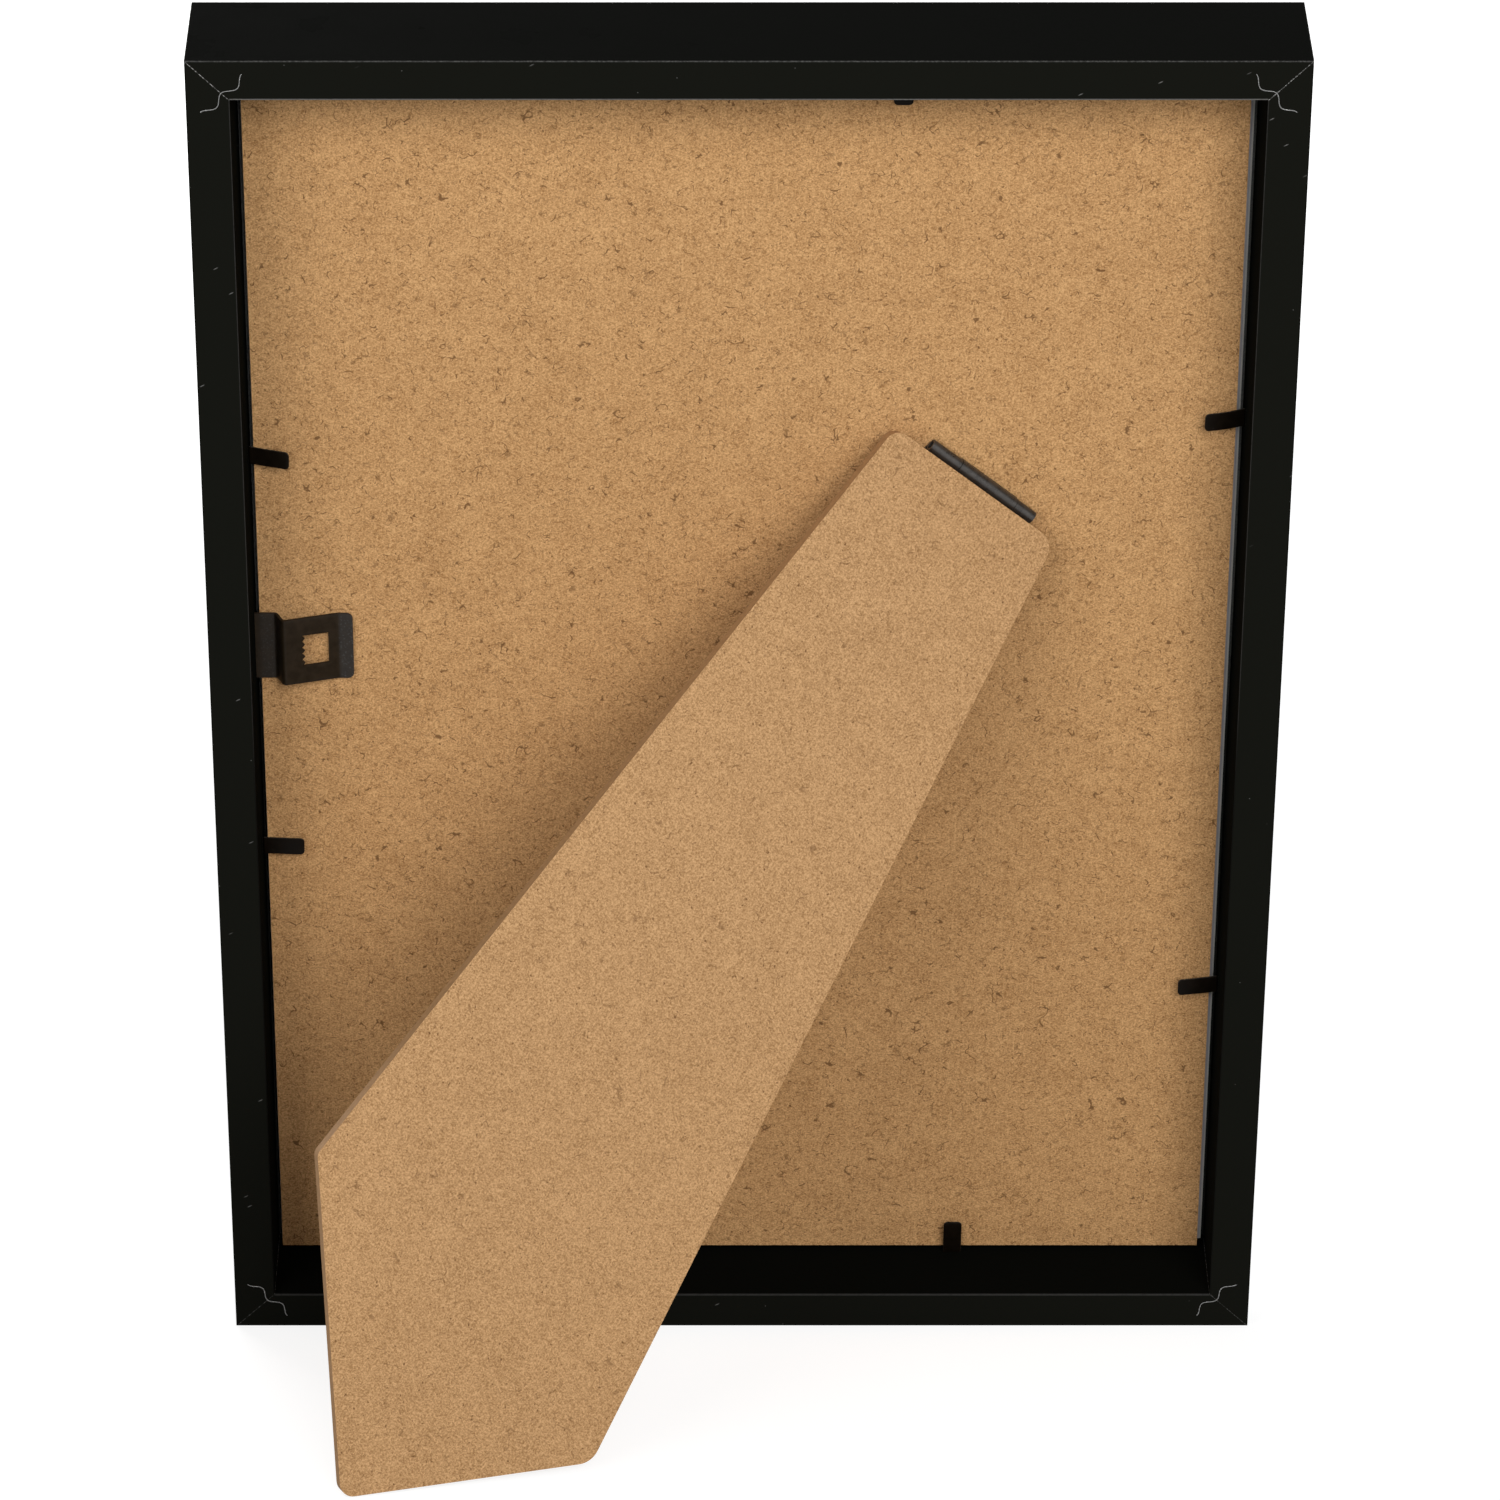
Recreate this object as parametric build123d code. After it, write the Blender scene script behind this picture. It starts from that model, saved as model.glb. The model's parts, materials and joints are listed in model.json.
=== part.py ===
from build123d import *
import math
import os

# Easel back photo frame, standing open on a table, leaning on its diagonal strut.
# Lengths are in millimetres and angles in degrees.
# The pieces are first drawn with the frame upright: x to the left as seen from behind,
# y out of the back, z up, and zero at the middle of the bottom edge of the back.
# Left and right in every name are as seen from behind, the side that carries the strut.

# Driving sizes of the moulding
frame_width = 230.0
frame_height = 320.0
frame_depth = 27.5
wall_thickness = 9.0
lip_cover = 6.0
lip_thickness = 4.3
arris_radius = 0.4

# Driving sizes of the layers in the rebate, from the front backwards
glazing_thickness = 1.5
glazing_gap = 0.6
mat_thickness = 1.2
mat_gap = 0.8
mat_window_width = 128.0
mat_window_height = 178.0
mat_bevel_angle = 45.0
print_thickness = 0.3
print_gap = 1.2
board_thickness = 3.0
board_gap_left = 1.1
board_gap_right = 1.9
board_gap_ends = 1.2

# Driving sizes of the rolled hinge
pin_radius = 0.9
pin_recess = 0.8
pin_running_gap = 0.05
leaf_thickness = 0.5
leaf_gap = 0.1
leaf_reach = 15.0
leaf_corner_radius = 2.0
knuckle_board_gap = 0.15
barrel_length = 28.4
middle_knuckle_length = 15.2
middle_knuckle_shift = 1.4
knuckle_end_gap = 0.12
stop_gap = 0.02
stop_land = 0.12
tooth_width = 2.0
tooth_depth = 1.9
hinge_right_of_middle = 50.3
hinge_above_bottom = 212.5
hinge_angle = 39.2
opening_angle = 27.7

# Driving sizes of the strut
strut_thickness = 3.0
strut_side_gap = 0.7
strut_foot_gap = 0.6
foot_width = 55.6
side_foot_height = 75.4
top_reach_left = 23.8
top_reach_right = 20.6
top_edge_gap = 0.15
top_left_radius = 3.2
top_right_radius = 4.2
kink_radius = 2.4
foot_left_radius = 3.0
foot_right_radius = 5.0

# Driving sizes of the flexible tabs
tab_width = 4.1
tab_length = 9.0
tab_thickness = 0.4
tab_tip_radius = 0.9
tab_root_gap = 0.05
tab_above_board = 0.8
tongue_depth = 5.0
tab_bow_start = 0.8
tab_bow_length = 6.0

# Driving sizes of the corner nails
nail_length = 12.3
nail_wave_height = 0.8
nail_thickness = 0.3
nail_depth = 7.0
nail_inset = 7.9
nail_wave_count = 2
nail_points_per_wave = 16

# Driving sizes of the sawtooth hanger
hanger_width = 16.2
hanger_thickness = 0.6
hanger_tuck = 1.6
hanger_slot_gap = 0.1
hanger_foot_length = 4.7
hanger_riser_run = 1.5
hanger_rise = 3.4
hanger_plate_length = 11.7
hanger_plate_drop = 3.3
hanger_flange_length = 3.0
hanger_flange_rise = 0.1
hanger_corner_radius = 1.4
hanger_above_middle = 10.9
hanger_window_start = 10.1
hanger_window_length = 5.8
hanger_window_width = 7.6
sawtooth_depth = 0.7
sawtooth_count = 5

# One overrun serves every cut
overrun = 1.0

# Where each tab stands along its rail, as a share of the rail's length from its middle,
# up on the sides and to the right on the ends
tab_place_shares = {
    "left_upper_tab": ("left", 0.183),
    "left_lower_tab": ("left", -0.126),
    "right_upper_tab": ("right", 0.212),
    "right_lower_tab": ("right", -0.241),
    "top_right_tab": ("top", 0.140),
    "bottom_right_tab": ("bottom", 0.209),
}
# How far each tab is raised from the board, root to tip, and how far it bows back towards it
tab_bends = {
    "left_upper_tab": (18.0, 3.0),
    "left_lower_tab": (4.0, 3.0),
    "right_upper_tab": (17.5, 14.0),
    "right_lower_tab": (10.5, 4.0),
    "top_right_tab": (0.5, 2.0),
    "bottom_right_tab": (8.0, 6.0),
}

# Derived sizes of the frame
half_width = frame_width / 2
half_height = frame_height / 2
mitre_size = wall_thickness + lip_cover
inner_half_width = half_width - wall_thickness
inner_half_height = half_height - wall_thickness
stack_thickness = glazing_thickness + mat_thickness + print_thickness + board_thickness
recess_depth = frame_depth - lip_thickness - stack_thickness
board_back = -recess_depth
print_back = board_back - board_thickness
mat_back = print_back - print_thickness
glazing_back = mat_back - mat_thickness

# Derived sizes of the hinge, in its own section: across to the foot, out of the board
fixed_ring_radius = pin_radius + leaf_thickness
moving_bore_radius = pin_radius + pin_running_gap
moving_ring_radius = moving_bore_radius + leaf_thickness
axis_height = moving_ring_radius + knuckle_board_gap
fixed_leaf_top = leaf_thickness - axis_height
moving_leaf_low = fixed_leaf_top + leaf_gap
strut_underside = moving_leaf_low + leaf_thickness
top_edge_distance = moving_ring_radius + top_edge_gap
middle_space = middle_knuckle_length + knuckle_end_gap * 2
middle_knuckle_start = -middle_knuckle_length / 2 - middle_knuckle_shift
middle_space_start = middle_knuckle_start - knuckle_end_gap
hinge_point = Vector(-hinge_right_of_middle, board_back + axis_height, hinge_above_bottom)
turn = math.radians(hinge_angle)
along_axis = Vector(math.cos(turn), 0, math.sin(turn))
to_foot = Vector(math.sin(turn), 0, -math.cos(turn))
hinge_plane = Plane(origin=hinge_point, x_dir=to_foot, z_dir=along_axis)
hinge_line = Axis(hinge_point, along_axis)

# The curl of the moving knuckle ends where it lands on the fixed leaf with the strut open
landing_angle = math.degrees(math.asin((-fixed_leaf_top - stop_gap) / moving_ring_radius))
curl_end_angle = 180 + landing_angle - opening_angle
curl_start_angle = -45

# Derived places of the strut's corners while it lies folded
strut_left = inner_half_width - strut_side_gap
strut_foot = wall_thickness + strut_foot_gap
strut_low_side = board_back + axis_height + strut_underside

# Where each rail's own axes lie: along the rail in x, inwards in z, and zero at its middle
rail_places = {
    "bottom": Pos(0, 0, 0),
    "top": Pos(0, 0, frame_height) * Rot(0, 180, 0),
    "left": Pos(half_width, 0, half_height) * Rot(0, -90, 0),
    "right": Pos(-half_width, 0, half_height) * Rot(0, 90, 0),
}
rail_lengths = {"bottom": frame_width, "top": frame_width, "left": frame_height, "right": frame_height}
# A share to the right or up runs this way along the rail's own x
share_signs = {"bottom": -1, "top": 1, "left": 1, "right": -1}


def slab(face, low, thickness):
    # a face drawn in x and z, thickened out of the back from the level called low
    return extrude(Plane.XZ.offset(-low) * face, amount=-thickness)


def polygon(*corners):
    return make_face(Polyline(*corners, close=True))


def sheet_face(gap_left, gap_right, gap_ends):
    # a sheet that fills the rebate but for its gaps
    width = inner_half_width * 2 - gap_left - gap_right
    height = inner_half_height * 2 - gap_ends * 2
    return Pos((gap_right - gap_left) / 2, half_height) * Rectangle(width, height)


def near(shape, point):
    # the corner of a flat face that lies nearest to a point
    return min(shape.vertices(), key=lambda corner: (Vector(corner) - Vector(point)).length)


# Mouldings


def make_rail(side):
    length = rail_lengths[side]
    ledge = lip_thickness - frame_depth
    section = polygon(
        (0, 0),
        (0, wall_thickness),
        (ledge, wall_thickness),
        (ledge, mitre_size),
        (-frame_depth, mitre_size),
        (-frame_depth, 0),
    )
    worn = [(0, 0), (0, wall_thickness), (-frame_depth, mitre_size), (-frame_depth, 0)]
    section = fillet([near(section, point) for point in worn], arris_radius)
    bar = extrude(Plane.YZ.offset(-length / 2) * section, amount=length)
    half = length / 2
    mitred = polygon((-half, 0), (half, 0), (half - mitre_size, mitre_size), (mitre_size - half, mitre_size))
    return rail_places[side] * (bar & slab(mitred, -frame_depth, frame_depth))


# Corner nails: a corrugated strip driven across each mitre, flush with the back


def make_corner_nail():
    # drawn about its middle, its length across the mitre in x, its crests in z to the frame's middle
    steps = nail_wave_count * nail_points_per_wave
    places = [nail_length * (step / steps - 0.5) for step in range(steps + 1)]

    def wave(place):
        return -nail_wave_height * math.cos(2 * math.pi * nail_wave_count * (place / nail_length + 0.5))

    half = nail_thickness / 2
    upper = [(place, wave(place) + half) for place in places]
    lower = [(place, wave(place) - half) for place in reversed(places)]
    return slab(polygon(*upper, *lower), -nail_depth, nail_depth)


def make_corner_nails():
    nails = []
    for across in (1, -1):
        for up in (1, -1):
            middle = Pos(across * (half_width - nail_inset), 0, half_height + up * (half_height - nail_inset))
            to_middle = math.degrees(math.atan2(-across, -up))
            nails.append(middle * Rot(0, to_middle, 0) * make_corner_nail())
    return nails


# Layers in the rebate


def make_glazing():
    pane = sheet_face(glazing_gap, glazing_gap, glazing_gap)
    return slab(pane, glazing_back - glazing_thickness, glazing_thickness)


def make_passe_partout():
    # the window's edge is cut on a slope, so the window is wider in front
    card = slab(sheet_face(mat_gap, mat_gap, mat_gap), mat_back - mat_thickness, mat_thickness)
    window_faces = []
    for level in (mat_back + overrun, mat_back - mat_thickness - overrun):
        grow = (mat_back - level) * 2 * math.tan(math.radians(mat_bevel_angle))
        window = Rectangle(mat_window_width + grow, mat_window_height + grow)
        window_faces.append(Plane.XZ.offset(-level) * Pos(0, half_height) * window)
    return card - loft(window_faces)


def make_picture_sheet():
    return slab(sheet_face(print_gap, print_gap, print_gap), print_back - print_thickness, print_thickness)


def make_back_board():
    return slab(sheet_face(board_gap_left, board_gap_right, board_gap_ends), print_back, board_thickness)


# Rolled hinge: a fixed leaf on the board with two closed end knuckles, a moving leaf under
# the strut with an open middle curl, and a pin; the curl's end lands on the fixed leaf


def along_pin(face, start, length):
    return hinge_plane * extrude(Pos(0, 0, start) * face, amount=length)


def leaf_strip(start, low):
    # the section of a leaf, from start to its far edge, its lower side at the level called low
    length = leaf_reach - start
    return Pos(start + length / 2, low + leaf_thickness / 2) * Rectangle(length, leaf_thickness)


def make_teeth(low, depth):
    # four teeth stood up from the leaf, two at its far edge and two nearer the barrel
    teeth = []
    for reach in (leaf_reach - leaf_corner_radius, leaf_reach / 2):
        for side in (1, -1):
            place = side * middle_knuckle_length / 3 - tooth_width / 2
            tooth = Pos(reach, low + depth / 2) * Rectangle(leaf_thickness, abs(depth))
            teeth.append(along_pin(tooth, place, tooth_width))
    return teeth


def round_leaf(leaf):
    # the two far corners of the leaf are rounded across the sheet
    corners = leaf.edges().filter_by(lambda edge: abs(edge.length - leaf_thickness) < stop_gap)
    far = hinge_point + to_foot * leaf_reach
    flat = Vector(0, 1, 0)
    ends = [
        edge
        for edge in corners
        if abs((edge.center() - far).dot(to_foot)) < stop_gap
        and abs(edge.tangent_at(0.5).dot(flat)) > 0.5
    ]
    return fillet(ends, leaf_corner_radius)


def make_fixed_leaf():
    low = -axis_height
    ring = Circle(fixed_ring_radius) + leaf_strip(0, low) - Circle(pin_radius)
    barrel_end = barrel_length / 2
    middle_space_end = middle_space_start + middle_space
    tongue_start = -moving_ring_radius * math.cos(math.radians(landing_angle)) - stop_land
    leaf = along_pin(ring, -barrel_end, barrel_end + middle_space_start)
    leaf += along_pin(ring, middle_space_end, barrel_end - middle_space_end)
    leaf += along_pin(leaf_strip(tongue_start, low), middle_space_start, middle_space)
    leaf = round_leaf(leaf)
    for tooth in make_teeth(low, -tooth_depth):
        leaf += tooth
    return leaf


def make_moving_leaf():
    # drawn with the strut folded
    far = moving_ring_radius * 2
    gap_angles = [curl_end_angle + (curl_start_angle + 360 - curl_end_angle) * step / 4 for step in range(5)]
    rim = [(far * math.cos(math.radians(angle)), far * math.sin(math.radians(angle))) for angle in gap_angles]
    curl = Circle(moving_ring_radius) - polygon((0, 0), *rim)
    strip_start = moving_bore_radius * math.cos(math.radians(curl_start_angle))
    middle = curl + leaf_strip(strip_start, moving_leaf_low) - Circle(moving_bore_radius)
    leaf = along_pin(middle, middle_knuckle_start, middle_knuckle_length)
    wide = leaf_strip(top_edge_distance + leaf_thickness, moving_leaf_low)
    leaf += along_pin(wide, -barrel_length / 2, barrel_length)
    leaf = round_leaf(leaf)
    for tooth in make_teeth(strut_underside, tooth_depth):
        leaf += tooth
    return leaf


def make_hinge_pin():
    return along_pin(Circle(pin_radius), pin_recess - barrel_length / 2, barrel_length - pin_recess * 2)


# Strut: hardboard, cut with a foot for an upright frame and a side foot for one on its side


def flat_point(vector):
    return (vector.X, vector.Z)


def make_strut_face():
    edge = hinge_point + to_foot * top_edge_distance
    top_left = flat_point(edge + along_axis * top_reach_left)
    top_right = flat_point(edge - along_axis * top_reach_right)
    kink = (strut_left, strut_foot + side_foot_height)
    foot_left = (strut_left, strut_foot)
    foot_right = (strut_left - foot_width, strut_foot)
    face = polygon(top_left, kink, foot_left, foot_right, top_right)
    radii = (
        (top_left, top_left_radius),
        (top_right, top_right_radius),
        (kink, kink_radius),
        (foot_left, foot_left_radius),
        (foot_right, foot_right_radius),
    )
    for corner, radius in radii:
        face = fillet(near(face, corner), radius)
    return face


def make_strut():
    return slab(make_strut_face(), strut_low_side, strut_thickness)


def open_strut(shape):
    return shape.rotate(hinge_line, opening_angle)


# Flexible tabs: a tongue in the rail, and a blade that bends where it leaves the wall


def tab_place(name):
    # the bend's middle, in the frame's axes
    side, share = tab_place_shares[name]
    along = share * rail_lengths[side] * share_signs[side]
    bend = wall_thickness + tab_root_gap + tab_thickness / 2
    return rail_places[side] * Pos(along, board_back + tab_above_board, bend)


def make_tab_blade(name):
    # drawn lying along z from the bend, its flat side out of the back
    half = tab_thickness / 2
    reach = tab_length - tab_root_gap - half
    raised, bow_angle = tab_bends[name]
    slope = math.radians(bow_angle)
    radius = tab_bow_length / slope

    def bowed(angle):
        return (-radius * (1 - math.cos(angle)), tab_bow_start + radius * math.sin(angle))

    root = Line((0, 0), bowed(0))
    bow = ThreePointArc(bowed(0), bowed(slope / 2), bowed(slope))
    rest = reach - tab_bow_start - tab_bow_length
    far_x, far_y = bowed(slope)
    tip = Line((far_x, far_y), (far_x - rest * math.sin(slope), far_y + rest * math.cos(slope)))
    side_line = Wire([root.edge(), bow.edge(), tip.edge()])
    strip = make_face(offset(side_line, half, side=Side.BOTH))
    strip = extrude(Plane.YZ.offset(-tab_width / 2) * strip, amount=tab_width)
    long = reach + half
    plan = Pos(0, long / 2 - half) * Rectangle(tab_width, long + half)
    far_corners = [near(plan, (side * tab_width / 2, long)) for side in (1, -1)]
    plan = fillet(far_corners, tab_tip_radius)
    blade = strip & slab(plan, -tab_length, tab_length * 2)
    bow_middle = tab_bow_start + tab_bow_length / 2
    lift = raised + bow_angle * (1 - bow_middle / reach)
    return tab_place(name) * Rot(-lift, 0, 0) * blade


def make_tab_tongue(name):
    depth = tongue_depth
    tongue = Box(tab_width, tab_thickness, depth)
    back = tab_root_gap + tab_thickness / 2 + depth / 2
    return tab_place(name) * Pos(0, 0, -back) * tongue


# Sawtooth hanger: one bent strip, tucked in a slot of the left rail, for a frame on its side


def make_hanger_section(start):
    # distance in from the wall's face, height over the board
    half = hanger_thickness / 2
    corners = [
        (start, half),
        (hanger_foot_length, half),
        (hanger_foot_length + hanger_riser_run, half + hanger_rise),
    ]
    for run, rise in ((hanger_plate_length, -hanger_plate_drop), (hanger_flange_length, hanger_flange_rise)):
        corners.append((corners[-1][0] + run, corners[-1][1] + rise))
    return offset(Polyline(*corners), half, side=Side.BOTH)


def make_hanger():
    width = hanger_width
    reach = hanger_foot_length + hanger_riser_run + hanger_plate_length + hanger_flange_length
    reach += hanger_thickness / 2
    section = make_face(make_hanger_section(hanger_thickness / 2 - hanger_tuck))
    section_plane = Plane(origin=(0, 0, -width / 2), x_dir=(-1, 0, 0), z_dir=(0, 0, -1))
    strip = extrude(section_plane * section, amount=-width)
    plan = Pos((hanger_tuck - reach) / 2, 0) * Rectangle(reach + hanger_tuck, width)
    ends = [near(plan, (-reach, side * width / 2)) for side in (1, -1)]
    plan = fillet(ends, hanger_corner_radius)
    strip = strip & slab(plan, -overrun, recess_depth)
    near_edge = -hanger_window_start
    far_edge = near_edge - hanger_window_length
    half = hanger_window_width / 2
    pitch = hanger_window_width / sawtooth_count
    corners = [(far_edge, -half), (far_edge, half)]
    for tooth in range(sawtooth_count):
        top = half - pitch * tooth
        corners += [(near_edge, top), (near_edge - sawtooth_depth, top - pitch / 2)]
    corners.append((near_edge, -half))
    strip = strip - slab(polygon(*corners), -overrun, recess_depth)
    return hanger_place * strip


hanger_place = Pos(inner_half_width, board_back, half_height + hanger_above_middle)


def make_hanger_slot():
    # the slot in the rail's wall, a little wider and thicker than the strip, and open to the board
    thick = hanger_thickness + hanger_slot_gap
    wide = hanger_width + hanger_slot_gap * 2
    slot = Box(hanger_tuck + hanger_slot_gap + overrun, thick, wide)
    middle = (hanger_tuck + hanger_slot_gap - overrun) / 2
    return hanger_place * Pos(middle, thick / 2, 0) * slot


# The frame leans back until the strut's foot and the bottom edge both touch the table


def foot_contact(lean):
    # the lowest point of the open strut when the frame leans back by this angle
    down = Vector(0, math.sin(math.radians(lean)), -math.cos(math.radians(lean)))
    folded_down = down.rotate(Axis((0, 0, 0), along_axis), -opening_angle)
    flat_down = Vector(folded_down.X, 0, folded_down.Z).normalized()
    radius = foot_left_radius
    corner = Vector(strut_left - radius, strut_low_side, strut_foot + radius)
    point = corner + flat_down * radius - hinge_point
    return point.rotate(Axis((0, 0, 0), along_axis), opening_angle) + hinge_point


def edge_lift(lean):
    # how far the worn bottom edge stays over the sharp edge's own level
    angle = math.radians(lean)
    return arris_radius * (math.cos(angle) + math.sin(angle) - 1)


def settle_lean():
    lean = opening_angle / 2
    for _ in range(30):
        contact = foot_contact(lean)
        rise = contact.Z - edge_lift(lean) / math.cos(math.radians(lean))
        lean = math.degrees(math.atan2(rise, contact.Y))
    return lean


# Build every piece upright

pieces = {}
corner_nails = make_corner_nails()
tab_names = list(tab_place_shares)
tongues = [make_tab_tongue(name) for name in tab_names]
hanger_slot = make_hanger_slot()
for side in rail_places:
    rail = make_rail(side)
    for nail in corner_nails:
        rail = rail - nail
    for name, tongue in zip(tab_names, tongues):
        if tab_place_shares[name][0] == side:
            rail = rail - tongue
    if side == "left":
        rail = rail - hanger_slot
    pieces[side + "_rail"] = rail
pieces["corner_wave_nails"] = Compound(corner_nails)
pieces["glazing"] = make_glazing()
pieces["passe_partout"] = make_passe_partout()
pieces["picture_sheet"] = make_picture_sheet()
pieces["hinge_fixed_leaf"] = make_fixed_leaf()
pieces["back_board"] = make_back_board() - pieces["hinge_fixed_leaf"]
pieces["hinge_pin"] = make_hinge_pin()
moving_leaf = make_moving_leaf()
pieces["hinge_moving_leaf"] = open_strut(moving_leaf)
pieces["easel_strut"] = open_strut(make_strut() - moving_leaf)
pieces["sawtooth_hanger"] = make_hanger()
pieces["tab_tongues"] = Compound(tongues)
for name in tab_names:
    pieces[name] = make_tab_blade(name)

# Lean the frame back and set its lowest points on the table, centred under its own box

lean_angle = settle_lean()
leaned = Pos(0, 0, -edge_lift(lean_angle)) * Rot(-lean_angle, 0, 0)
box = Compound([leaned * piece for piece in pieces.values()]).bounding_box()
placed = Pos(0, -(box.min.Y + box.max.Y) / 2, 0) * leaned

os.makedirs("parts", exist_ok=True)
for name, piece in pieces.items():
    export_step(placed * piece, "parts/" + name + ".step")

# Print what a user of the model asks for: the lean, and each joint's place and direction

print("lean", round(lean_angle, 3), "recess", recess_depth)
print("box", box.size)


def report_line(name, point, direction):
    start = placed * Pos(*point)
    end = placed * Pos(*(point + direction))
    way = end.position - start.position
    print("joint", name, *[round(value, 4) for value in (*start.position, *way)])


report_line("strut", hinge_point, -along_axis)
for name in tab_names:
    place = tab_place(name)
    way = (place * Pos(-1, 0, 0)).position - place.position
    report_line(name, place.position, way)
report_line("hanger", hanger_place.position, Vector(0, 1, 0))
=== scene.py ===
import json
import math

import bmesh
import bpy
import numpy as np
from mathutils import Matrix, Vector

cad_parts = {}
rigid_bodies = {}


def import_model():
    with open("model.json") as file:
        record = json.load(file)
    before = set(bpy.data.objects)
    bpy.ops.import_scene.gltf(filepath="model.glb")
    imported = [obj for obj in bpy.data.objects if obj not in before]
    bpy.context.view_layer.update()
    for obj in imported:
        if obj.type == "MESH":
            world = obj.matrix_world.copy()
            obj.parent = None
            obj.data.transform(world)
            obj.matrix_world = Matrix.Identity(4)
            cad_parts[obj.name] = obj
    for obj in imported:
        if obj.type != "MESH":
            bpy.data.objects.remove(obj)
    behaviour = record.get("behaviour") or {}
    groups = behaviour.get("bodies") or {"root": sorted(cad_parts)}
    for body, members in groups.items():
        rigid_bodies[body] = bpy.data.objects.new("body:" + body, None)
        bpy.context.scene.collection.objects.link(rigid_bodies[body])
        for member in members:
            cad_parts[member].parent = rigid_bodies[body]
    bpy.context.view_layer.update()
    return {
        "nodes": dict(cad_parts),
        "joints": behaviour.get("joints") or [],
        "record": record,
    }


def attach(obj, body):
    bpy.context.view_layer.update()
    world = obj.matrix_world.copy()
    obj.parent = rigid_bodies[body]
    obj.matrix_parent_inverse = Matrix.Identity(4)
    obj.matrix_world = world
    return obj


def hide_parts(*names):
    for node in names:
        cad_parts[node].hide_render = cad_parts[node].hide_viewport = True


for leftover in list(bpy.data.objects):
    bpy.data.objects.remove(leftover)

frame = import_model()
nodes = frame["nodes"]
joints = {joint["name"]: joint for joint in frame["joints"]}

# How the frame stands. Its own axes are x to the left as seen from behind, y out of the back and z up,
# in mm, from the middle of the back's bottom edge; the wall mount gives their turn and place.
standing = {
    "width": 230.0,
    "height": 320.0,
    "wall": 9.0,
    "boardBack": -17.2,
}
wallFace = next(mount for mount in frame["record"]["mounts"] if mount["name"] == "wall_face")
backOut = Vector(wallFace["axis"]).normalized()
frameUp = Vector((1, 0, 0)).cross(backOut)
lean = math.atan2(-backOut.z, backOut.y)
zeroPoint = Vector(wallFace["pos_m"]) - frameUp * (standing["height"] - standing["wall"] / 2) / 1000
ownAxes = np.array([(1, 0, 0), tuple(backOut), tuple(frameUp)]).T
strutFold = joints["strut_fold"]
foldAxis = Vector(strutFold["axis"]).normalized()
strutOut = Matrix.Rotation(-math.radians(strutFold["range_deg"][1]), 3, foldAxis) @ backOut


def toRow(points):
    # points in the frame's own axes, in mm, turned and moved to where the frame stands, in metres
    return points @ ownAxes.T / 1000 + np.array(zeroPoint)


# Small helpers for material nodes


def startMaterial(name):
    material = bpy.data.materials.new(name)
    material.use_nodes = True
    tree = material.node_tree
    tree.nodes.clear()
    output = tree.nodes.new("ShaderNodeOutputMaterial")
    shader = tree.nodes.new("ShaderNodeBsdfPrincipled")
    tree.links.new(shader.outputs["BSDF"], output.inputs["Surface"])
    return material, tree, shader


def feed(tree, socket, value):
    if isinstance(value, bpy.types.NodeSocket):
        tree.links.new(value, socket)
    else:
        socket.default_value = value


def calc(tree, operation, *values):
    node = tree.nodes.new("ShaderNodeMath")
    node.operation = operation
    for socket, value in zip(node.inputs, values):
        feed(tree, socket, value)
    return node.outputs[0]


def ramp(tree, value, low, high, toLow=0.0, toHigh=1.0):
    # value from low to high becomes toLow to toHigh, smoothly and clamped
    node = tree.nodes.new("ShaderNodeMapRange")
    node.interpolation_type = "SMOOTHSTEP"
    names = ("Value", "From Min", "From Max", "To Min", "To Max")
    for name, number in zip(names, (value, low, high, toLow, toHigh)):
        feed(tree, node.inputs[name], number)
    return node.outputs["Result"]


def strongest(tree, layers):
    # the highest of the layers at each place
    most = layers[0]
    for layer in layers[1:]:
        most = calc(tree, "MAXIMUM", most, layer)
    return most


def blendColour(tree, factor, first, second):
    # first at factor 0 to second at factor 1
    node = tree.nodes.new("ShaderNodeMix")
    node.data_type = "RGBA"
    for index, value in ((0, factor), (6, first), (7, second)):
        feed(tree, node.inputs[index], (*value, 1) if isinstance(value, tuple) else value)
    return node.outputs[2]


def scaleVector(tree, vector, factor):
    node = tree.nodes.new("ShaderNodeVectorMath")
    node.operation = "SCALE"
    feed(tree, node.inputs[0], vector)
    feed(tree, node.inputs["Scale"], factor)
    return node.outputs[0]


def noise(tree, place, size, detail=2.0, roughness=0.5, output="Fac"):
    # cloudy noise whose patches are about size mm across
    node = tree.nodes.new("ShaderNodeTexNoise")
    tree.links.new(place, node.inputs["Vector"])
    node.inputs["Scale"].default_value = 1 / size
    node.inputs["Detail"].default_value = detail
    node.inputs["Roughness"].default_value = roughness
    return node.outputs[output]


def turned(tree, source, turn, shift, scale):
    # source scaled, then turned by a matrix, then shifted
    node = tree.nodes.new("ShaderNodeMapping")
    tree.links.new(source, node.inputs["Vector"])
    node.inputs["Rotation"].default_value = turn.to_euler()
    node.inputs["Location"].default_value = shift
    node.inputs["Scale"].default_value = (scale, scale, scale)
    return node.outputs[0]


def sheetTurn(out, up):
    # rows are right, up and out of a sheet
    return Matrix((up.cross(out), up, out))


def sheetPlace(tree, out=backOut, up=frameUp):
    # the place on a sheet in mm: x right, y up, z out of it, from the frame's own zero
    source = tree.nodes.new("ShaderNodeTexCoord").outputs["Object"]
    turn = sheetTurn(out, up)
    return turned(tree, source, turn, -(turn @ zeroPoint) * 1000, 1000)


def sheetFacing(tree, out=backOut, up=frameUp):
    # the surface's direction in the same axes
    source = tree.nodes.new("ShaderNodeTexCoord").outputs["Normal"]
    return turned(tree, source, sheetTurn(out, up), (0, 0, 0), 1)


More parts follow.
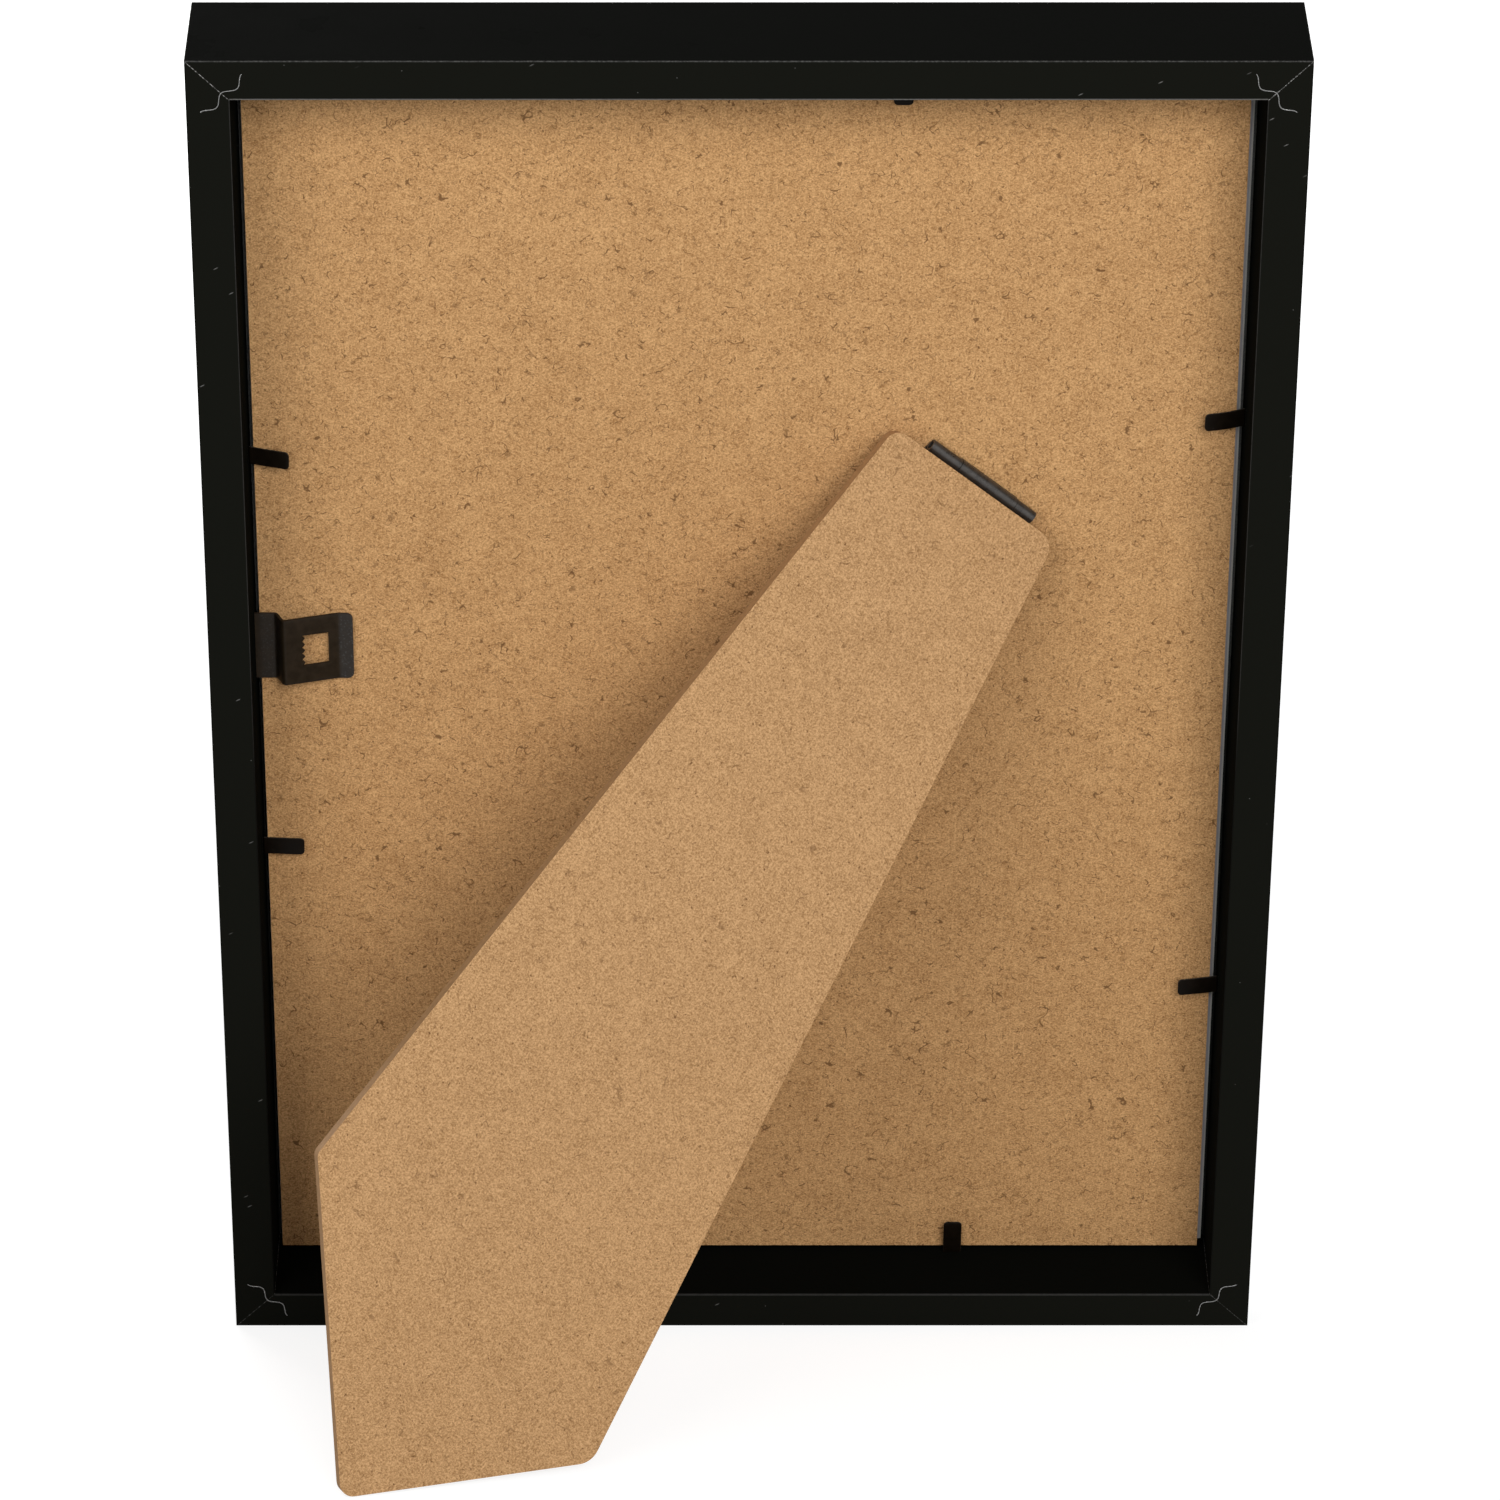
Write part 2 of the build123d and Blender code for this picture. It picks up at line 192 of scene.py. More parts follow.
def parts(tree, vector):
    node = tree.nodes.new("ShaderNodeSeparateXYZ")
    tree.links.new(vector, node.inputs[0])
    return node.outputs[0], node.outputs[1], node.outputs[2]


def specks(tree, place, length, width, angle, share, radius, seed):
    # scattered strokes: cells length by width mm, turned by angle, each with one soft dot, stretched
    # as the cell is; only a share of the cells keeps its dot
    cells = tree.nodes.new("ShaderNodeMapping")
    cells.vector_type = "TEXTURE"
    tree.links.new(place, cells.inputs["Vector"])
    cells.inputs["Location"].default_value = (seed * 7.3, seed * 3.1, 0)
    cells.inputs["Rotation"].default_value = (0, 0, math.radians(angle))
    cells.inputs["Scale"].default_value = (length, width, 1)
    dots = tree.nodes.new("ShaderNodeTexVoronoi")
    dots.voronoi_dimensions = "2D"
    tree.links.new(cells.outputs[0], dots.inputs["Vector"])
    dots.inputs["Scale"].default_value = 1
    near = ramp(tree, dots.outputs["Distance"], radius, radius * 0.35)
    lot = parts(tree, dots.outputs["Color"])
    kept = ramp(tree, lot[0], share, share * 0.4)
    return calc(tree, "MULTIPLY", near, kept)


def strands(tree, place, size, thin, kept, seed):
    # curved hairs: the thin lines where a noise passes its middle, cut to short lengths by a second noise
    moved = tree.nodes.new("ShaderNodeMapping")
    tree.links.new(place, moved.inputs["Vector"])
    moved.inputs["Location"].default_value = (seed * 17.3, seed * 9.1, seed * 5.7)
    level = noise(tree, moved.outputs[0], size, 0.5)
    line = ramp(tree, calc(tree, "ABSOLUTE", calc(tree, "SUBTRACT", level, 0.5)), thin, thin * 0.3)
    length = ramp(tree, noise(tree, moved.outputs[0], size * 1.1, 0.0, output="Color"), kept, kept + 0.04)
    return calc(tree, "MULTIPLY", line, length)


def bump(tree, shader, height, strength, depth):
    # fine relief; depth is the height's reach in mm
    node = tree.nodes.new("ShaderNodeBump")
    node.inputs["Strength"].default_value = strength
    node.inputs["Distance"].default_value = depth / 1000
    tree.links.new(height, node.inputs["Height"])
    tree.links.new(node.outputs[0], shader.inputs["Normal"])


# Hardboard: tan felted fibre with clouds, fine grain, short dark fibres and a few bold specks

boardFinish = {
    "darkColour": (0.33, 0.165, 0.06),
    "lightColour": (0.68, 0.40, 0.178),
    "fibreColour": (0.15, 0.07, 0.026),
    "edgeColour": (0.36, 0.205, 0.095),
    # how far each layer moves the tone, and how far each kind of mark covers it
    "grainDepth": 2.9,
    "hairDepth": 1.5,
    "cloudDepth": 0.55,
    "driftDepth": 0.15,
    "fibreDepth": 0.85,
    "hairlineDepth": 0.5,
    "speckDepth": 0.9,
    "middleTone": 0.55,
    # sizes in mm
    "swaySize": 1.0,
    "swayReach": 0.6,
    "grainSize": 0.42,
    "hairWidth": 0.3,
    "hairStretch": 6,
    "hairAngles": (25, 85, 150),
    "cloudSize": 9.0,
    "driftSize": 70.0,
    # strands: size in mm, thinness, where the second noise cuts them, seed
    "fibres": [(2.2, 0.034, 0.64, 1), (3.3, 0.023, 0.63, 2)],
    "hairlines": [(1.1, 0.05, 0.58, 3), (1.7, 0.035, 0.58, 4)],
    # specks: cell length and width in mm, angle, share kept, dot radius, seed
    "specks": [
        (2.6, 2.0, 20, 0.08, 0.12, 11),
        (3.4, 2.0, 115, 0.08, 0.12, 12),
        (1.8, 1.3, 60, 0.1, 0.14, 13),
    ],
    "edgeLayerSize": 1.1,
    "edgeUneven": (0.6, 0.7),
    "edgeFacing": (0.5, 0.9),
    "roughness": (0.86, 0.7),
    "speckPit": 0.6,
    "reliefStrength": 0.4,
    "relief": 0.05,
    "gloss": 0.12,
}
# the strut: its own deeper grain and fewer fibres, with colours darker than the board's as painted shade
shadedStrutFinish = dict(
    boardFinish,
    darkColour=(0.30, 0.16, 0.064),
    lightColour=(0.60, 0.36, 0.172),
    grainDepth=3.2,
    cloudDepth=0.4,
    fibreDepth=0.5,
    hairlineDepth=0.25,
)


def felt(tree, place, width, stretch, angle):
    # fine hairs that lie one way: noise width mm across, drawn out by stretch along the angle
    lying = tree.nodes.new("ShaderNodeMapping")
    lying.vector_type = "TEXTURE"
    tree.links.new(place, lying.inputs["Vector"])
    lying.inputs["Rotation"].default_value = (0, 0, math.radians(angle))
    lying.inputs["Scale"].default_value = (stretch, 1, stretch)
    return noise(tree, lying.outputs[0], width, 1.0)


def hardboardMaterial(name, finish, out, up):
    material, tree, shader = startMaterial(name)
    place = sheetPlace(tree, out, up)
    # the fine patterns are read at a slightly swayed place, which bends their strokes
    swayNoise = noise(tree, place, finish["swaySize"], 2.0, output="Color")
    swayed = tree.nodes.new("ShaderNodeVectorMath")
    tree.links.new(place, swayed.inputs[0])
    tree.links.new(scaleVector(tree, swayNoise, finish["swayReach"]), swayed.inputs[1])
    bent = swayed.outputs[0]
    grain = noise(tree, bent, finish["grainSize"], 3.0, 0.7)
    width, stretch = finish["hairWidth"], finish["hairStretch"]
    hairs = strongest(tree, [felt(tree, bent, width, stretch, angle) for angle in finish["hairAngles"]])
    cloud = noise(tree, place, finish["cloudSize"], 3.0, 0.75)
    drift = noise(tree, place, finish["driftSize"], 2.0)
    # each layer moves the tone by its depth times its distance from its own middle level
    tone = finish["middleTone"]
    layers = ((grain, 0.5, "grain"), (hairs, 0.6, "hair"), (cloud, 0.5, "cloud"), (drift, 0.5, "drift"))
    for layer, level, depth in layers:
        offset = calc(tree, "SUBTRACT", layer, level)
        tone = calc(tree, "MULTIPLY_ADD", offset, finish[depth + "Depth"], tone)
    colour = blendColour(tree, tone, finish["darkColour"], finish["lightColour"])
    fibres = strongest(tree, [strands(tree, bent, *values) for values in finish["fibres"]])
    hairlines = strongest(tree, [strands(tree, bent, *values) for values in finish["hairlines"]])
    bold = strongest(tree, [specks(tree, bent, *values) for values in finish["specks"]])
    for mark, depth in ((hairlines, "hairline"), (fibres, "fibre"), (bold, "speck")):
        strength = calc(tree, "MULTIPLY", mark, finish[depth + "Depth"])
        colour = blendColour(tree, strength, colour, finish["fibreColour"])
    # the sawn edges are browner, in uneven layers
    facing = calc(tree, "ABSOLUTE", parts(tree, sheetFacing(tree, out, up))[2])
    layered = noise(tree, place, finish["edgeLayerSize"], 3.0, 0.6)
    uneven = calc(tree, "MULTIPLY_ADD", layered, *finish["edgeUneven"])
    sawn = scaleVector(tree, finish["edgeColour"], uneven)
    colour = blendColour(tree, ramp(tree, facing, *finish["edgeFacing"]), sawn, colour)
    tree.links.new(colour, shader.inputs["Base Color"])
    shader.inputs["Specular IOR Level"].default_value = finish["gloss"]
    tree.links.new(ramp(tree, grain, 0.2, 0.8, *finish["roughness"]), shader.inputs["Roughness"])
    height = calc(tree, "SUBTRACT", grain, calc(tree, "MULTIPLY", bold, finish["speckPit"]))
    bump(tree, shader, height, finish["reliefStrength"], finish["relief"])
    return material


# Black foil on the mouldings, with worn arrises, bright mitre joints, dust and a few short scratches; the top
# outer arris also carries a painted highlight, the inner arrises a painted reflection of the board, and every
# face but the back and front a darker black as painted shade

foilFinish = {
    "flatColour": (0.0078, 0.0081, 0.0062),
    # every face but the back and front takes this darker black, which is painted shade
    "shadedSideColour": (0.003, 0.0032, 0.0025),
    "wornColour": (0.42, 0.415, 0.40),
    "mitreWidth": 0.09,
    "mitreWear": 1.0,
    # the top outer arris is lighter by wear and by a painted highlight
    "outerWearAndHighlight": 0.18,
    # the inner arris's pale line is a painted reflection of the board, strong at the top and faint at the
    # bottom
    "innerReflection": 0.36,
    "lowerReflection": 0.06,
    "dustWear": 0.3,
    "roughness": (0.26, 0.36),
    "wallRoughness": 0.95,
    "gloss": 0.003,
    # where the surface counts as the back, as the outer arris and as the inner one
    "flatFacing": (0.85, 0.97),
    "outerTurning": (0.25, 0.5),
    "innerFacing": (0.3, 0.55),
    # mm in from the top, and mm short of the rebate, between which each sets in
    "outerArris": (1.2, 0.4),
    "innerArris": (0.5, 0.3),
    "insideWall": (0.3, 0.05),
    # noise levels between which the wear and the painted highlight and reflection come through, and the least
    # of it
    "mitreRub": (0.44, 0.62, 0.08),
    "outerRub": (0.38, 0.66, 0.06),
    "innerRub": (0.3, 0.55, 0.65),
    # the mitres' pale line grows from the first share of the height to the second, fainter towards the bottom
    "mitreRise": (0.2, 0.9),
    "mitreLow": 0.3,
    "mitreCut": 2.0,
    "innerTurn": 20,
    "rubSize": 0.7,
    "smearSize": 14.0,
    "skinSize": 0.35,
    # dust and short scratches: cell length and width in mm, angle, share kept, dot radius, seed
    "specks": [(4.0, 4.0, 0, 0.05, 0.035, 21), (16.0, 3.2, 28, 0.09, 0.045, 22)],
    "reliefStrength": 0.12,
    "relief": 0.02,
}


def foilMaterial(name, finish):
    material, tree, shader = startMaterial(name)
    place = sheetPlace(tree)
    right, up = parts(tree, place)[:2]
    height, wall = standing["height"], standing["wall"]
    fromSide = calc(tree, "SUBTRACT", standing["width"] / 2, calc(tree, "ABSOLUTE", right))
    overMiddle = calc(tree, "SUBTRACT", up, height / 2)
    fromEnd = calc(tree, "SUBTRACT", height / 2, calc(tree, "ABSOLUTE", overMiddle))
    facing = parts(tree, sheetFacing(tree))[2]
    flat = ramp(tree, calc(tree, "ABSOLUTE", facing), *finish["flatFacing"])
    # faces other than the back and front get the darker black: painted shade
    colour = blendColour(tree, flat, finish["shadedSideColour"], finish["flatColour"])
    # the mitres, which show most at the top
    across = calc(tree, "MULTIPLY", calc(tree, "SUBTRACT", fromSide, fromEnd), math.sqrt(0.5))
    rubbed = noise(tree, place, finish["rubSize"], 3.0, 0.75)
    mitre = ramp(tree, calc(tree, "ABSOLUTE", across), finish["mitreWidth"], finish["mitreWidth"] * 0.3)
    mitre = calc(tree, "MULTIPLY", mitre, ramp(tree, rubbed, *finish["mitreRub"], finish["mitreWear"]))
    low, high = finish["mitreRise"]
    mitre = calc(tree, "MULTIPLY", mitre, ramp(tree, up, height * low, height * high, finish["mitreLow"]))
    # the outer arris, where the surface turns from the back to the top, painted lighter: rubbed wear and a
    # painted highlight
    outwards = calc(tree, "MAXIMUM", facing, 0.0)
    sideways = calc(tree, "SQRT", calc(tree, "SUBTRACT", 1.0, calc(tree, "POWER", outwards, 2.0)))
    turning = ramp(tree, calc(tree, "MULTIPLY", outwards, sideways), *finish["outerTurning"])
    farther, nearer = finish["outerArris"]
    outer = calc(tree, "MULTIPLY", turning, ramp(tree, up, height - farther, height - nearer))
    outer = calc(tree, "MULTIPLY", outer, ramp(tree, rubbed, *finish["outerRub"], finish["outerWearAndHighlight"]))
    # the inner arris, painted lighter as a painted reflection of the board, strong along the top and faint
    # along the bottom
    farther, nearer = finish["innerArris"]
    inner = ramp(tree, fromEnd, wall - farther, wall - nearer)
    inner = calc(tree, "MULTIPLY", inner, ramp(tree, facing, *finish["innerFacing"]))
    inner = calc(tree, "MULTIPLY", inner, ramp(tree, fromSide, wall - nearer, wall + nearer))
    turn = finish["innerTurn"]
    reflectionByHeight = ramp(tree, overMiddle, -turn, turn, finish["lowerReflection"], finish["innerReflection"])
    inner = calc(tree, "MULTIPLY", inner, reflectionByHeight)
    inner = calc(tree, "MULTIPLY", inner, ramp(tree, rubbed, *finish["innerRub"]))
    dust = strongest(tree, [specks(tree, place, *values) for values in finish["specks"]])
    dust = calc(tree, "MULTIPLY", dust, finish["dustWear"])
    # the pale foil colour shows wear, dust and scratches, and the painted highlight and reflection on the
    # arrises
    worn = strongest(tree, [mitre, outer, inner, dust])
    tree.links.new(blendColour(tree, worn, colour, finish["wornColour"]), shader.inputs["Base Color"])
    # inside the rebate the foil is dull
    farther, nearer = finish["insideWall"]
    inside = ramp(tree, calc(tree, "MINIMUM", fromSide, fromEnd), wall - farther, wall - nearer)
    dull = calc(tree, "MULTIPLY", inside, calc(tree, "SUBTRACT", 1.0, flat))
    dull = calc(tree, "MULTIPLY", dull, finish["wallRoughness"])
    smear = ramp(tree, noise(tree, place, finish["smearSize"], 3.0, 0.6), 0.3, 0.7, *finish["roughness"])
    tree.links.new(calc(tree, "MAXIMUM", smear, dull), shader.inputs["Roughness"])
    shader.inputs["Specular IOR Level"].default_value = finish["gloss"]
    skin = noise(tree, place, finish["skinSize"], 2.0)
    skin = calc(tree, "SUBTRACT", skin, calc(tree, "MULTIPLY", mitre, finish["mitreCut"]))
    bump(tree, shader, skin, finish["reliefStrength"], finish["relief"])
    return material


# Sheet steel: a dark skin with a soft mottle; cut edges read the piece's own edge attribute, which on the
# hanger carries a painted sheen instead

brownSteel = {
    "colour": (0.0055, 0.0036, 0.0021),
    "edgeColour": (0.075, 0.066, 0.055),
    "roughness": (0.3, 0.42),
    "gloss": 0.05,
    "metal": 0.0,
}
# the hanger's pale bluish grey on its foot and flange is a painted sheen with some wear
hangerSteelAndSheen = dict(brownSteel, colour=(0.02, 0.0135, 0.0078), edgeColour=(0.07, 0.072, 0.075), gloss=0.09)
blueSteel = {
    "colour": (0.036, 0.031, 0.027),
    "edgeColour": (0.2, 0.19, 0.18),
    "roughness": (0.24, 0.36),
    "gloss": 0.5,
    "metal": 0.2,
}
brightSteel = {
    "colour": (0.06, 0.06, 0.058),
    "edgeColour": (0.6, 0.6, 0.59),
    "roughness": (0.34, 0.5),
    "gloss": 0.3,
    "metal": 0.3,
}
steelSkin = {
    "mottleSize": 1.8,
    "mottleTone": (0.84, 1.18),
    "chipSize": 0.45,
    "chipLevels": (0.55, 0.72),
    # how far the attribute's pale colour shows where chipped beyond the rest, and everywhere: bare cut edges,
    # and the hanger's painted sheen
    "bareAndSheenLevels": (0.7, 0.3),
    # nicks: cell length and width in mm, angle, share kept, dot radius, seed
    "nicks": (2.6, 2.6, 0, 0.06, 0.06, 31),
    "nickDepth": 0.7,
    "reliefStrength": 0.15,
    "relief": 0.03,
}


def steelMaterial(name, finish, edgeAttribute=True):
    material, tree, shader = startMaterial(name)
    place = sheetPlace(tree)
    mottle = noise(tree, place, steelSkin["mottleSize"], 3.0, 0.6)
    tone = ramp(tree, mottle, 0.3, 0.7, *steelSkin["mottleTone"])
    colour = scaleVector(tree, finish["colour"], tone)
    chips = ramp(tree, noise(tree, place, steelSkin["chipSize"], 2.0), *steelSkin["chipLevels"])
    if edgeAttribute:
        edge = tree.nodes.new("ShaderNodeAttribute")
        edge.attribute_name = "bareEdgeAndSheen"
        chipped = calc(tree, "MULTIPLY_ADD", chips, *steelSkin["bareAndSheenLevels"])
        # bare cut edges, and on the hanger a painted sheen
        bare = calc(tree, "MULTIPLY", edge.outputs["Fac"], chipped)
        colour = blendColour(tree, bare, colour, finish["edgeColour"])
    nicks = calc(tree, "MULTIPLY", specks(tree, place, *steelSkin["nicks"]), steelSkin["nickDepth"])
    colour = blendColour(tree, nicks, colour, finish["edgeColour"])
    tree.links.new(colour, shader.inputs["Base Color"])
    tree.links.new(ramp(tree, mottle, 0.3, 0.7, *finish["roughness"]), shader.inputs["Roughness"])
    shader.inputs["Specular IOR Level"].default_value = finish["gloss"]
    shader.inputs["Metallic"].default_value = finish["metal"]
    bump(tree, shader, mottle, steelSkin["reliefStrength"], steelSkin["relief"])
    return material


# Card and paper inside, and the clear glazing in front of them

paperFinish = {
    "colour": (0.60, 0.592, 0.622),
    "toothSize": 0.6,
    "toothTone": (0.96, 1.03),
    "roughness": 0.85,
    "gloss": 0.2,
    "reliefStrength": 0.2,
    "relief": 0.03,
}
cardFinish = dict(paperFinish, colour=(0.80, 0.78, 0.73), coreColour=(0.88, 0.88, 0.86))
glassFinish = {
    "colour": (0.97, 0.99, 0.98, 1),
    "refraction": 1.5,
    "smearSize": 30.0,
    "smear": 0.03,
}


def cardMaterial(name, finish):
    material, tree, shader = startMaterial(name)
    place = sheetPlace(tree)
    tooth = noise(tree, place, finish["toothSize"], 4.0, 0.6)
    tone = ramp(tree, tooth, 0.25, 0.75, *finish["toothTone"])
    colour = scaleVector(tree, finish["colour"], tone)
    # the bevel shows the card's core
    if "coreColour" in finish:
        facing = calc(tree, "ABSOLUTE", parts(tree, sheetFacing(tree))[2])
        colour = blendColour(tree, ramp(tree, facing, 0.75, 0.9), finish["coreColour"], colour)
    tree.links.new(colour, shader.inputs["Base Color"])
    shader.inputs["Roughness"].default_value = finish["roughness"]
    shader.inputs["Specular IOR Level"].default_value = finish["gloss"]
    bump(tree, shader, tooth, finish["reliefStrength"], finish["relief"])
    return material


def glassMaterial(name, finish):
    # clear to lamps, so that the card behind it is lit
    material, tree, shader = startMaterial(name)
    place = sheetPlace(tree)
    shader.inputs["Base Color"].default_value = finish["colour"]
    shader.inputs["Transmission Weight"].default_value = 1.0
    shader.inputs["IOR"].default_value = finish["refraction"]
    smear = ramp(tree, noise(tree, place, finish["smearSize"], 3.0), 0.3, 0.8, 0.0, finish["smear"])
    tree.links.new(smear, shader.inputs["Roughness"])
    clear = tree.nodes.new("ShaderNodeBsdfTransparent")
    path = tree.nodes.new("ShaderNodeLightPath")
    mix = tree.nodes.new("ShaderNodeMixShader")
    output = next(node for node in tree.nodes if node.type == "OUTPUT_MATERIAL")
    shadowed = calc(tree, "MAXIMUM", path.outputs["Is Shadow Ray"], path.outputs["Is Diffuse Ray"])
    tree.links.new(shadowed, mix.inputs[0])
    tree.links.new(shader.outputs[0], mix.inputs[1])
    tree.links.new(clear.outputs[0], mix.inputs[2])
    tree.links.new(mix.outputs[0], output.inputs["Surface"])
    return material


materials = {
    "black_moulding": foilMaterial("wornBlackFoil", foilFinish),
    "brown_hardboard": hardboardMaterial("backHardboard", boardFinish, backOut, frameUp),
    "strut_hardboard": hardboardMaterial("shadedStrutHardboard", shadedStrutFinish, strutOut, foldAxis.cross(strutOut)),
    "clear_glass": glassMaterial("clearGlazing", glassFinish),
    "white_card": cardMaterial("matCard", cardFinish),
    "pale_paper": cardMaterial("insertPaper", paperFinish),
    "blued_steel": steelMaterial("bluedSheet", blueSteel, edgeAttribute=False),
    "browned_steel": steelMaterial("brownedSheet", brownSteel),
    "bright_steel": steelMaterial("bareStrip", brightSteel),
}
for part in frame["record"]["subparts"]:
    piece = nodes[part["node"]]
    for slot in piece.material_slots:
        slot.material = materials[part["material_slot"]]
print("materials set:", len(materials))


# New pieces are grids of points: rows along the piece, columns round it


def gridFaces(rows, columns, wrap):
    # one four-sided face between each two neighbouring rows and columns
    row, column = np.meshgrid(np.arange(rows - 1), np.arange(columns - (not wrap)), indexing="ij")
    following = (column + 1) % columns
    near, far = row * columns, (row + 1) * columns
    corners = [near + column, near + following, far + following, far + column]
    return np.stack(corners, axis=-1).reshape(-1, 4)


def placePiece(name, points, faces, slotName, body, node, bareEdgeAndSheen=None, material=None):
    # a mesh of the points and faces, which moves with the body and is shown instead of the node
    mesh = bpy.data.meshes.new(name)
    mesh.from_pydata(points.tolist(), [], faces)
    if bareEdgeAndSheen is not None:
        mesh.attributes.new("bareEdgeAndSheen", "FLOAT", "POINT").data.foreach_set("value", bareEdgeAndSheen.astype(np.float32))
    work = bmesh.new()
    work.from_mesh(mesh)
    bmesh.ops.recalc_face_normals(work, faces=work.faces[:])
    work.to_mesh(mesh)
    work.free()
    mesh.polygons.foreach_set("use_smooth", np.full(len(mesh.polygons), True))
    mesh.materials.append(material or materials[slotName])
    piece = bpy.data.objects.new(name, mesh)
    bpy.context.scene.collection.objects.link(piece)
    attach(piece, body)
    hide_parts(node)
    return piece


cornerSteps = 5  # points round each corner of a strip


def stripPoints(centre, across, normal, halfWidths, thickness, rounding):
    # a flat strip carried along a path: at each row the section is a rectangle, twice the row's half
    # width by the thickness, its four corners rounded by quarter circles
    signs = np.array([(1, 1), (-1, 1), (-1, -1), (1, -1)])
    angles = np.radians(np.arange(4)[:, None] * 90 + np.linspace(0, 90, cornerSteps)[None, :])
    sideSign = np.repeat(signs[:, 0], cornerSteps)
    faceSign = np.repeat(signs[:, 1], cornerSteps)
    roundSide = rounding * np.cos(angles).ravel()
    roundFace = rounding * np.sin(angles).ravel()
    side = sideSign * (halfWidths[:, None] - rounding) + roundSide
    face = faceSign * (thickness / 2 - rounding) + roundFace
    face = np.broadcast_to(face, side.shape)
    points = centre[:, None, :] + side[..., None] * across + face[..., None] * normal[:, None, :]
    return points.reshape(-1, 3), np.abs(roundSide) / rounding


def closedStrip(rows, columns):
    # faces between the rows, and one flat face over each end
    ends = [list(range(columns)), list(range((rows - 1) * columns, rows * columns))]
    return gridFaces(rows, columns, True).tolist() + ends


# Bendable tabs: each strip rises from its slot and bows back towards its tip

tabs = {
    "width": 4.1,
    "thickness": 0.4,
    "reach": 8.75,
    "bowStart": 0.8,
    "bowLength": 6.0,
    "tipRadius": 0.9,
    "edgeRounding": 0.09,
    "rows": 30,
    "tipRows": 10,
    "tipFrom": 0.12,  # radians into the tip's corner, just past the last straight row
    # degrees over the board, and degrees by which the tip bows back
    "raiseAndBow": {
        "left_upper_tab": (18.0, 3.0),
        "left_lower_tab": (4.0, 3.0),
        "right_upper_tab": (17.5, 14.0),
        "right_lower_tab": (10.5, 4.0),
        "top_right_tab": (0.5, 2.0),
        "bottom_right_tab": (8.0, 6.0),
    },
}


def makeTab(node, raised, bow):
    # the slope falls evenly along the bow, and the line is the running sum of short steps at that slope;
    # the half width stays even and ends in a quarter circle at each tip corner
    joint = joints[node + "_bend"]
    bend, axis = np.array(joint["pos_m"]), np.array(Vector(joint["axis"]).normalized())
    out = np.array(backOut)
    inward = np.cross(out, axis)
    length = tabs["reach"] + tabs["thickness"] / 2
    tip = tabs["tipRadius"]
    straight = np.linspace(0, length - tip, tabs["rows"])
    rounded = length - tip + tip * np.sin(np.linspace(tabs["tipFrom"], math.pi / 2, tabs["tipRows"]))
    along = np.concatenate([straight, rounded])
    bowMiddle = tabs["bowStart"] + tabs["bowLength"] / 2
    lift = raised + bow * (1 - bowMiddle / tabs["reach"])
    slope = np.radians(lift - bow * np.clip((along - tabs["bowStart"]) / tabs["bowLength"], 0, 1))
    steps = np.diff(along, prepend=0.0)
    middle = (slope + np.roll(slope, 1)) / 2
    middle[0] = slope[0]
    run = np.cumsum(steps * np.cos(middle))
    rise = np.cumsum(steps * np.sin(middle))
    centre = bend * 1000 + run[:, None] * inward + rise[:, None] * out
    normal = np.cos(slope)[:, None] * out - np.sin(slope)[:, None] * inward
    past = np.clip(along - (length - tip), 0, tip)
    halfWidths = tabs["width"] / 2 - tip + np.sqrt(tip**2 - past**2)
    points, roundness = stripPoints(centre, axis, normal, halfWidths, tabs["thickness"], tabs["edgeRounding"])
    bareEdgeAndSheen = np.tile(roundness > 0.5, len(along)).astype(float)
    faces = closedStrip(len(along), len(roundness))
    name = node.replace("_", "-") + "-strip"
    placePiece(name, points / 1000, faces, "browned_steel", node + "_blade", node, bareEdgeAndSheen)


for tabName, (tabRaise, tabBow) in tabs["raiseAndBow"].items():
    makeTab(tabName, tabRaise, tabBow)
print("tabs made:", len(tabs["raiseAndBow"]))


# Sawtooth hanger: one strip, tucked in at the left wall, raised over the board, with a toothed window

hanger = {
    "width": 16.2,
    "thickness": 0.6,
    "aboveMiddle": 10.9,
    # distance in from the wall and height over the board
    "profile": [(-1.6, 0.3), (4.7, 0.3), (6.2, 3.7), (17.9, 0.4), (21.2, 0.5)],
    "bendRun": 0.5,
    "cornerRadius": 1.4,
    "windowStart": 10.1,
    "windowEnd": 15.9,
    "windowWidth": 7.6,
    "toothCount": 5,
    "toothDepth": 0.7,
    "toothRoot": 0.35,
    "edgeRounding": 0.1,
    "bevelFrom": 50,
    # the stretches with fine rows, where the strip bends
    "firstBend": (4.0, 6.9),
    "lastBend": (17.0, 18.8),
    # distance in from the wall and how pale the steel turns: some wear, and a painted sheen on the flat foot
    # and flange
    "worn": [(0.5, 0.0), (1.5, 0.35), (4.4, 0.35), (5.0, 0.0), (17.9, 0.0), (18.6, 0.7)],
}


def hangerHeight(distance):
    # height over the board at a distance in from the wall: straight runs, averaged over a short
    # run so that every bend is round
    corners = np.array(hanger["profile"])
    spread = np.linspace(-hanger["bendRun"], hanger["bendRun"], 21)
    return np.interp(distance[..., None] + spread, corners[:, 0], corners[:, 1]).mean(axis=-1)


